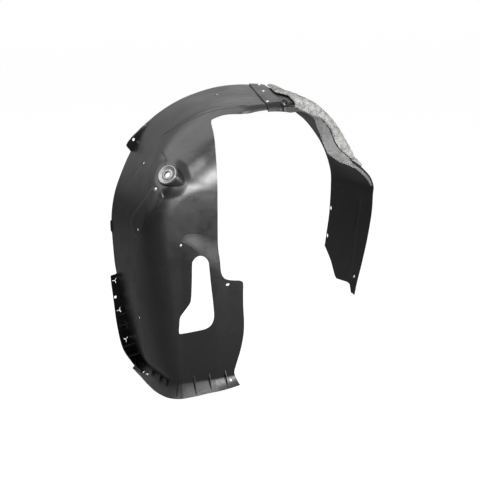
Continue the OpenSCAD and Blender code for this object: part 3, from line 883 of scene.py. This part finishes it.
# Small shell
# The leg's ridge as (x, y, z) points. Then the groove beside the seam, by its distance and ways
# across; short ridges along the crest, by length; and the ring, its section as (radius, height),
# and the holes of the crest and the leg, as places on the skin.
LEG_RIDGE = [(376, -171, 21), (372, -168, -75), (352, -192, -210)]
SEAM_GROOVE_BACK = 9
SEAM_GROOVE_AT = (0.02, 0.3, 0.6, 0.98)
LAP_RIDGE = (-22, -45)
CREST_RIDGE = (-75, -110)
CREST_U = 1.01
RING_AT = (-56, 1.4)
RING = [(6.4, 0), (7.4, 3.4), (9.4, 4.2), (11.4, 3.2), (12.8, 0)]
CREST_HOLE = (-62, 0.95)
LEG_HOLE = (-782, 0.93)
# Holes through the outboard edge of the leg.
EDGE_HOLES = [(380, -7, -38), (380, -7, -127)]
EDGE_HOLE_R = 6.5


def on_lap(s, u):
    """Point of the small shell's outer face where it lies on the large one."""
    return skin(s, u) + skin_normal(s, u) * LAP_RISE


def front_forms(g):
    """Ridges and the groove of the small shell."""
    p = Press(g)
    p.bead(LEG_RIDGE, 1.2, 12)
    p.bead([on_lap(seam_at(u) - SEAM_GROOVE_BACK, u) for u in SEAM_GROOVE_AT], -0.9, 2.6)
    p.bead([on_lap(s, CREST_U) for s in LAP_RIDGE], 0.9, 4)
    p.bead([skin(s, CREST_U) for s in CREST_RIDGE], 0.9, 4)
    return p.done()


def front_cutters():
    bm = bmesh.new()
    for s, u in RIVETS:
        add_rod(bm, skin(s, u), skin_normal(s, u), RIVET_BORE, 20)
    for at, radius, length in ((CREST_HOLE, 4, 24), (RING_AT, 5, 24), (LEG_HOLE, 5, 20)):
        add_rod(bm, skin(*at), skin_normal(*at), radius, length)
    for at in EDGE_HOLES:
        add_rod(bm, at, (1, 0, 0), EDGE_HOLE_R, 40)
    return bm


def make_front():
    outer = swelled(front_forms(front_grid()), *FRONT_SWELL)
    obj = shell_object("front_shell_moulding", outer)
    carve(obj, [front_cutters()])
    join(obj, [lathe("ring", RING, 48, on_lap(*RING_AT), skin_normal(*RING_AT))])
    finish_mesh(obj)
    return obj


# Felt
# Its first row, the edge it ends at by share of the tread's width, how far it reaches over the
# crest by length, its thickness inside and at the border, the width of the border's slope, its
# gap to the shell, the share of its rows where the lap starts to lift it and how fast that goes,
# and its rows and columns.
FELT_FROM = -428.0
FELT_OUTER_U = 0.03
felt_edge = straight([(0.03, -132), (0.53, -93), (0.62, -106), (0.72, -112), (1, -89)])
felt_reach = curve([(-428, 2), (-400, 4), (-341, 20), (-295, 27), (-245, 18), (-205, 16), (-149, 27),
                    (-114, 22), (-95, 14)])
FELT_T = 9.0
FELT_BORDER_T = 3.2
FELT_BORDER = 14
FELT_GAP = 0.6
FELT_LAP_FROM = 0.86
FELT_LAP_RUN = 0.1
FELT_ROWS = 110
FELT_COLS = 66
FELT_WALL_COLS = 14
FELT_ROW_STEP = 3.0


def felt_grid():
    """Grid of the shell's face under the felt, and how far the lap lifts the felt off it."""
    f = np.linspace(0, 1, FELT_ROWS)[:, None]
    u = np.linspace(FELT_OUTER_U, 1, FELT_COLS)
    s_tread = mix(FELT_FROM, felt_edge(u)[None, :], f)
    s_in = s_tread[:, -1]
    q_end = corner_q(s_in, crest_r(s_in) - felt_reach(s_in))
    q = q_end[:, None] * np.linspace(0, 1, FELT_WALL_COLS + 1)[1:]
    g = np.concatenate([skin(s_tread, u[None, :]), skin(s_in[:, None], 1 + q)], 1)
    lift = LAP_RISE * ease((f - FELT_LAP_FROM) / FELT_LAP_RUN)
    return g, lift * np.ones(g.shape[:2])


def make_felt():
    """The felt, and its upper face and normals for the fibres."""
    g, lift = felt_grid()
    nrm = grid_normals(g)
    across = Press(g).uv[..., 1]
    along = np.arange(len(g))[:, None] * FELT_ROW_STEP + 0 * across
    border = np.minimum.reduce([along, along[::-1], across - across[:, :1], across[:, -1:] - across])
    thick = FELT_BORDER_T + (FELT_T - FELT_BORDER_T) * np.sqrt(np.clip(border / FELT_BORDER, 0, 1))
    thick = thick * (1 + 0.07 * waves(g, 26, 4)) + 0.35 * waves(g, 9, 5) * ease(border / 6)
    under = g + nrm * (lift + FELT_GAP)[..., None]
    top = under + nrm * thick[..., None]
    obj = new_object("felt_mat", closed_mesh("felt_mat", top, under))
    finish_mesh(obj, 60)
    return obj, top, nrm


FIBRES = 2600
FIBRE_STEPS = 4


def make_fibres(top, nrm):
    """Loose hairs that lie on the felt and stand off its borders."""
    rng = np.random.default_rng(11)
    verts, faces = [], []
    m, n = top.shape[:2]
    for _ in range(FIBRES):
        i, j = rng.integers(1, m - 1), rng.integers(1, n - 1)
        p, up = top[i, j], nrm[i, j]
        side = unit(np.cross(up, rng.normal(size=3)))
        turn = rng.normal(0, 0.5)
        length = rng.uniform(6, 16)
        lift = rng.uniform(0.1, 0.9)
        width = rng.uniform(0.16, 0.3)
        q = p + up * 0.1
        base = len(verts)
        for k in range(FIBRE_STEPS + 1):
            across = np.cross(up, side)
            verts.append(q - across * width)
            verts.append(q + across * width)
            side = unit(side + across * turn / FIBRE_STEPS)
            arch = math.sin(math.pi * k / FIBRE_STEPS) * lift
            q = q + side * (length / FIBRE_STEPS) + up * (arch * 0.35 - 0.1)
        for k in range(FIBRE_STEPS):
            a = base + 2 * k
            faces.append((a, a + 1, a + 3, a + 2))
    mesh = bpy.data.meshes.new("felt_fibres")
    mesh.from_pydata(to_frame(np.array(verts)).tolist(), [], faces)
    return new_object("felt_fibres", mesh)


# Washer, as (radius, height) points of its section, and its gap to the boss.
WASHER = [(BOSS_BORE, 0), (27, 0), (27, 2.6), (26.4, 3.6), (25, 4), (23.4, 3.8), (22.4, 3), (17.5, 2.6),
          (16.6, 2), (15.6, 2), (14.8, 2.7), (11, 3), (9.2, 2.9), (BOSS_BORE, 2.3)]
WASHER_GAP = 0.1


def make_washer():
    washer = lathe("support_ring", WASHER, 96, BOSS_AT + BOSS_N * WASHER_GAP, BOSS_N)
    finish_mesh(washer, 40)
    return washer


# Materials
def set_values(node, **values):
    """Fills a node's inputs by name, with underscores for spaces."""
    for name, value in values.items():
        node.inputs[name.replace("_", " ")].default_value = value
    return node


def add_node(tree, kind, **values):
    return set_values(tree.nodes.new("ShaderNode" + kind), **values)


def link(source, target):
    source.id_data.links.new(source, target)


def material(name):
    mat = bpy.data.materials.new(name)
    mat.use_nodes = True
    tree = mat.node_tree
    tree.nodes.clear()
    out = add_node(tree, "OutputMaterial")
    bsdf = add_node(tree, "BsdfPrincipled")
    link(bsdf.outputs[0], out.inputs[0])
    return mat, tree, bsdf


def noise_node(tree, coords, scale, detail=4.0, rough=0.55):
    node = add_node(tree, "TexNoise", Scale=scale, Detail=detail, Roughness=rough)
    link(coords.outputs["Object"], node.inputs["Vector"])
    return node


def ramp_node(tree, source, stops):
    node = add_node(tree, "ValToRGB")
    ramp = node.color_ramp
    while len(ramp.elements) < len(stops):
        ramp.elements.new(0.5)
    for e, (at, c) in zip(ramp.elements, stops):
        e.position = at
        e.color = (c, c, c, 1) if np.isscalar(c) else (*c, 1)
    link(source, node.inputs["Fac"])
    return node


def bump_node(tree, source, strength, distance, normal=None):
    node = add_node(tree, "Bump", Strength=strength, Distance=distance)
    link(source, node.inputs["Height"])
    if normal is not None:
        link(normal, node.inputs["Normal"])
    return node


def mix_node(tree, share, a, b):
    """The share of b mixed into a."""
    node = add_node(tree, "Mix", Factor=share)
    link(a, node.inputs["A"])
    link(b, node.inputs["B"])
    return node.outputs["Result"]


def plastic(name, low, high, specular, rough_low, rough_high):
    """Moulded black plastic: dull film, fine grain and a faint orange peel."""
    mat, tree, bsdf = material(name)
    coords = add_node(tree, "TexCoord")
    film = set_values(noise_node(tree, coords, 11, 7, 0.66), Distortion=0.8)
    turn = add_node(tree, "Mapping", Rotation=(0.3, 0.9, 0.5), Scale=(1, 5, 1))
    link(coords.outputs["Object"], turn.inputs["Vector"])
    wipe = noise_node(tree, coords, 16, 5, 0.6)
    link(turn.outputs[0], wipe.inputs["Vector"])
    fine = noise_node(tree, coords, 900, 3)
    peel = noise_node(tree, coords, 45, 2)
    cloud = mix_node(tree, 0.4, film.outputs["Fac"], wipe.outputs["Fac"])
    tint = ramp_node(tree, cloud, [(0.34, low), (0.66, high)])
    link(tint.outputs[0], bsdf.inputs["Base Color"])
    gloss = ramp_node(tree, cloud, [(0.36, rough_high), (0.64, rough_low)])
    link(gloss.outputs[0], bsdf.inputs["Roughness"])
    set_values(bsdf, Specular_IOR_Level=specular)
    rough = bump_node(tree, peel.outputs["Fac"], 0.12, 0.002)
    grain = bump_node(tree, fine.outputs["Fac"], 0.14, 0.0003, rough.outputs[0])
    link(grain.outputs[0], bsdf.inputs["Normal"])
    return mat


FELT_TINT = [(0.40, (0.09, 0.09, 0.088)), (0.5, (0.31, 0.31, 0.30)), (0.6, (0.46, 0.46, 0.45))]


def felt_material(name):
    """Matted grey fibre: dark and light blotches with fine strands."""
    mat, tree, bsdf = material(name)
    coords = add_node(tree, "TexCoord")
    blotch = noise_node(tree, coords, 55, 5, 0.7)
    strands = noise_node(tree, coords, 420, 5, 0.75)
    both = mix_node(tree, 0.55, blotch.outputs["Fac"], strands.outputs["Fac"])
    tint = ramp_node(tree, both, FELT_TINT)
    link(tint.outputs[0], bsdf.inputs["Base Color"])
    set_values(bsdf, Roughness=0.95, Specular_IOR_Level=0.0, Sheen_Weight=0.03)
    soft = bump_node(tree, blotch.outputs["Fac"], 0.5, 0.003)
    hair = bump_node(tree, strands.outputs["Fac"], 0.7, 0.0012, soft.outputs[0])
    link(hair.outputs[0], bsdf.inputs["Normal"])
    return mat


def metal(name, tone, rough):
    """Bare metal with faint wear."""
    mat, tree, bsdf = material(name)
    coords = add_node(tree, "TexCoord")
    wear = noise_node(tree, coords, 120, 5)
    tint = ramp_node(tree, wear.outputs["Fac"], [(0.3, tone * 0.75), (0.7, tone * 1.1)])
    link(tint.outputs[0], bsdf.inputs["Base Color"])
    set_values(bsdf, Roughness=rough, Metallic=1.0)
    scratch = bump_node(tree, wear.outputs["Fac"], 0.15, 0.0004)
    link(scratch.outputs[0], bsdf.inputs["Normal"])
    return mat


def dress(obj, mat):
    obj.data.materials.clear()
    obj.data.materials.append(mat)


rear = make_rear()
front = make_front()
felt, felt_top, felt_nrm = make_felt()
fibres = make_fibres(felt_top, felt_nrm)
washer = make_washer()

rear_plastic = plastic("black_plastic_rear", 0.003, 0.009, 0.52, 0.24, 0.39)
front_plastic = plastic("black_plastic_front", 0.003, 0.008, 0.38, 0.26, 0.38)
felt_fibre = felt_material("grey_felt")
steel = metal("dull_steel", 0.22, 0.42)
bright = metal("bright_rivet", 0.85, 0.3)
for piece, node, slot, look in ((rear, "rear_shell", "rear_plastic", rear_plastic),
                                (front, "front_shell", "front_plastic", front_plastic),
                                (felt, "felt_pad", "felt", felt_fibre),
                                (washer, "support_washer", "washer_metal", steel)):
    dress(piece, look)
    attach(piece, "root")
    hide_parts(node)
dress(fibres, felt_fibre)
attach(fibres, "root")
dress(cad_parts["seam_rivets"], bright)


# Camera, light and floor
# The sky's light by height and lean to the back, and the sweep that reflections show by height.
SKY = [(0.30, 0.08), (0.60, 0.20), (0.75, 0.30), (0.88, 0.36), (0.96, 0.40)]
SWEEP = [(0.0, 0.16), (0.10, 0.36), (0.22, 0.78), (0.50, 0.92), (0.9, 1.0)]
# Half the floor's side and its drop below the object in metres, its tone, and its glow to the
# camera and in reflections.
FLOOR_HALF = 14
FLOOR_DROP = 0.001
FLOOR_TONE = 0.22
FLOOR_GLOW = 0.9
FLOOR_GLOW_MIRRORED = 0.05
# Lamps as name, the two ends of the strip, its target, its width in metres and its power.
LAMPS = [("overhead", ((-1170, -1960, 1680), (-930, 950, 2370)), (-150, -180, 150), 2.4, 64),
         ("key_low", ((300, -1330, 70), (170, -1330, 330)), (-200, -240, 150), 0.30, 12),
         ("key_high", ((20, -1330, 670), (-130, -1330, 900)), (-210, -230, 180), 0.3, 6.5),
         ("strip", ((960, -1200, -120), (940, -1190, 80)), (240, -245, 180), 0.25, 6.5)]
# Direction of view, the place looked at, and the camera's distance from it in metres.
LOOK = Vector((0.4683, 0.8448, -0.2588))
TARGET = Vector(to_frame((25, -41, -90)))
CAMERA_AWAY = 3.0


def look_at(obj, target):
    obj.rotation_euler = (Vector(target) - obj.location).to_track_quat("-Z", "Y").to_euler()


def make_camera():
    camera = new_object("camera", bpy.data.cameras.new("camera"))
    camera.data.lens = 75
    camera.data.sensor_width = 36
    camera.location = TARGET - LOOK * CAMERA_AWAY
    look_at(camera, TARGET)
    bpy.context.scene.camera = camera


def area_light(name, ends, target, width, power):
    """Strip between two places, turned to a target, that the camera doesn't see."""
    a, b, t = (Vector(to_frame(p)) for p in (*ends, target))
    lamp = bpy.data.lights.new(name, "AREA")
    lamp.shape = "RECTANGLE"
    lamp.size, lamp.size_y = (b - a).length, width
    lamp.energy = power
    obj = new_object(name, lamp)
    x = (b - a).normalized()
    z = (a + b) / 2 - t
    z = (z - x * z.dot(x)).normalized()
    obj.matrix_world = Matrix.Translation((a + b) / 2) @ Matrix((x, z.cross(x), z)).transposed().to_4x4()
    obj.visible_camera = False


def math_node(tree, operation, a, b):
    node = add_node(tree, "Math")
    node.operation = operation
    for socket, value in zip(node.inputs, (a, b)):
        if isinstance(value, (int, float)):
            socket.default_value = value
        else:
            link(value, socket)
    return node.outputs[0]


def mirrored(tree, path):
    """One for rays of reflections and for rays through glass."""
    return math_node(tree, "MAXIMUM", path.outputs["Is Glossy Ray"], path.outputs["Is Transmission Ray"])


def world_light():
    """White to the camera and a pale sweep in reflections; the light itself is brighter overhead."""
    world = bpy.data.worlds.new("studio")
    bpy.context.scene.world = world
    world.use_nodes = True
    tree = world.node_tree
    tree.nodes.clear()
    path = add_node(tree, "LightPath")
    coords = add_node(tree, "TexCoord")
    split = add_node(tree, "SeparateXYZ")
    link(coords.outputs["Generated"], split.inputs[0])
    rise = math_node(tree, "MULTIPLY", split.outputs["Z"], 0.8)
    rise = math_node(tree, "ADD", rise, math_node(tree, "MULTIPLY", split.outputs["Y"], 0.6))
    rise = math_node(tree, "ADD", math_node(tree, "MULTIPLY", rise, 0.5), 0.5)
    sky = ramp_node(tree, rise, SKY)
    sweep = ramp_node(tree, split.outputs["Z"], SWEEP)
    seen = path.outputs["Is Camera Ray"]
    lit = add_node(tree, "Background")
    link(sky.outputs[0], lit.inputs["Color"])
    shown = add_node(tree, "Background")
    link(math_node(tree, "MAXIMUM", sweep.outputs[0], seen), shown.inputs["Color"])
    swap = add_node(tree, "MixShader")
    link(math_node(tree, "MAXIMUM", seen, mirrored(tree, path)), swap.inputs["Fac"])
    link(lit.outputs[0], swap.inputs[1])
    link(shown.outputs[0], swap.inputs[2])
    out = add_node(tree, "OutputWorld")
    link(swap.outputs[0], out.inputs[0])


def make_floor():
    """Pale floor that keeps the shadow and shows white to the camera."""
    low = float(CAD_BOX[0][2]) - FLOOR_DROP
    corners = ((-1, -1), (1, -1), (1, 1), (-1, 1))
    mesh = bpy.data.meshes.new("floor")
    mesh.from_pydata([(x * FLOOR_HALF, y * FLOOR_HALF, low) for x, y in corners], [], [(0, 1, 2, 3)])
    floor = new_object("floor", mesh)
    mat, tree, bsdf = material("white_floor")
    tone = (FLOOR_TONE, FLOOR_TONE, FLOOR_TONE, 1)
    set_values(bsdf, Base_Color=tone, Roughness=0.9, Specular_IOR_Level=0.1)
    path = add_node(tree, "LightPath")
    glow = add_node(tree, "Emission")
    soft = math_node(tree, "MULTIPLY", mirrored(tree, path), FLOOR_GLOW_MIRRORED)
    sharp = math_node(tree, "MULTIPLY", path.outputs["Is Camera Ray"], FLOOR_GLOW)
    link(math_node(tree, "MAXIMUM", soft, sharp), glow.inputs["Strength"])
    both = add_node(tree, "AddShader")
    link(bsdf.outputs[0], both.inputs[0])
    link(glow.outputs[0], both.inputs[1])
    out = [n for n in tree.nodes if n.type == "OUTPUT_MATERIAL"][0]
    link(both.outputs[0], out.inputs[0])
    dress(floor, mat)


make_camera()
world_light()
make_floor()
bpy.context.scene.view_settings.view_transform = "Standard"
for lamp in LAMPS:
    area_light(*lamp)
